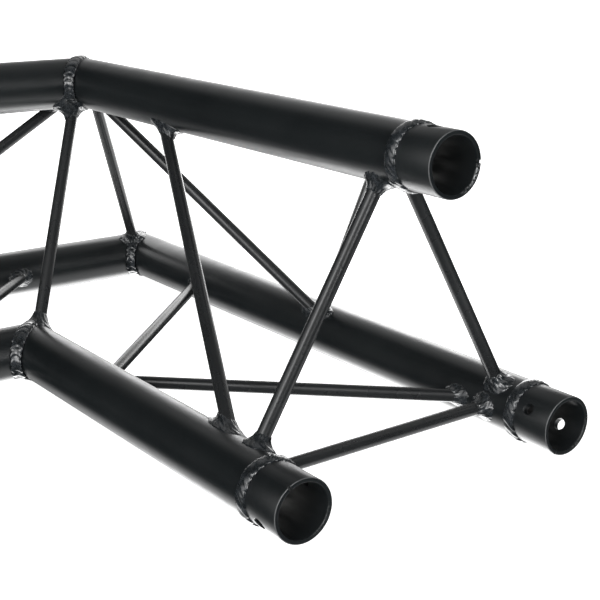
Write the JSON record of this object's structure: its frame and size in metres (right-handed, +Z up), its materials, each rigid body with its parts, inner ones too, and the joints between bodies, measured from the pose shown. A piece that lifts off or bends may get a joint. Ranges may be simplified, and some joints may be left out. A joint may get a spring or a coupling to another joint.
{
  "type": "lighting truss corner section",
  "caption": "Triangular truss corner, welded from tube and round bar, turning ninety degrees, with a socketed receiver at each chord end for conical couplers.",
  "frame": {"origin": "centre of the bounding box's base, on the surface that the lower chords lie on", "axes": "+Z up, through the apex chord; +X and +Y along the two legs, out of their receivers; the corner is at -X -Y"},
  "size_m": [0.5116, 0.5116, 0.1986],
  "materials": {
    "powder_coat": "black powder coat over aluminium, satin, fine texture",
    "turned_receiver": "black coat over a smooth turned surface, satin, bare metal worn through on the rim",
    "weld_bead": "black coat over a rippled weld bead, semi-gloss"
  },
  "bodies": {
    "root": {"top_chord_x": "powder_coat", "top_receiver_x": "turned_receiver", "top_receiver_weld_x": "weld_bead", "inner_chord_x": "powder_coat", "inner_receiver_x": "turned_receiver", "inner_receiver_weld_x": "weld_bead", "outer_chord_x": "powder_coat", "outer_receiver_x": "turned_receiver", "outer_receiver_weld_x": "weld_bead", "inner_face_end_strut_x": "powder_coat", "outer_face_end_strut_x": "powder_coat", "bottom_face_end_strut_x": "powder_coat", "inner_face_diagonal_x": "powder_coat", "outer_face_corner_diagonal_x": "powder_coat", "outer_face_end_diagonal_x": "powder_coat", "bottom_face_corner_diagonal_x": "powder_coat", "bottom_face_end_diagonal_x": "powder_coat", "top_chord_y": "powder_coat", "top_receiver_y": "turned_receiver", "top_receiver_weld_y": "weld_bead", "inner_chord_y": "powder_coat", "inner_receiver_y": "turned_receiver", "inner_receiver_weld_y": "weld_bead", "outer_chord_y": "powder_coat", "outer_receiver_y": "turned_receiver", "outer_receiver_weld_y": "weld_bead", "inner_face_end_strut_y": "powder_coat", "outer_face_end_strut_y": "powder_coat", "bottom_face_end_strut_y": "powder_coat", "inner_face_diagonal_y": "powder_coat", "outer_face_corner_diagonal_y": "powder_coat", "outer_face_end_diagonal_y": "powder_coat", "bottom_face_corner_diagonal_y": "powder_coat", "bottom_face_end_diagonal_y": "powder_coat", "top_mitre_weld": "weld_bead", "inner_mitre_weld": "weld_bead", "outer_mitre_weld": "weld_bead", "inner_mitre_strut": "powder_coat", "outer_mitre_strut": "powder_coat"}
  },
  "joints": []
}
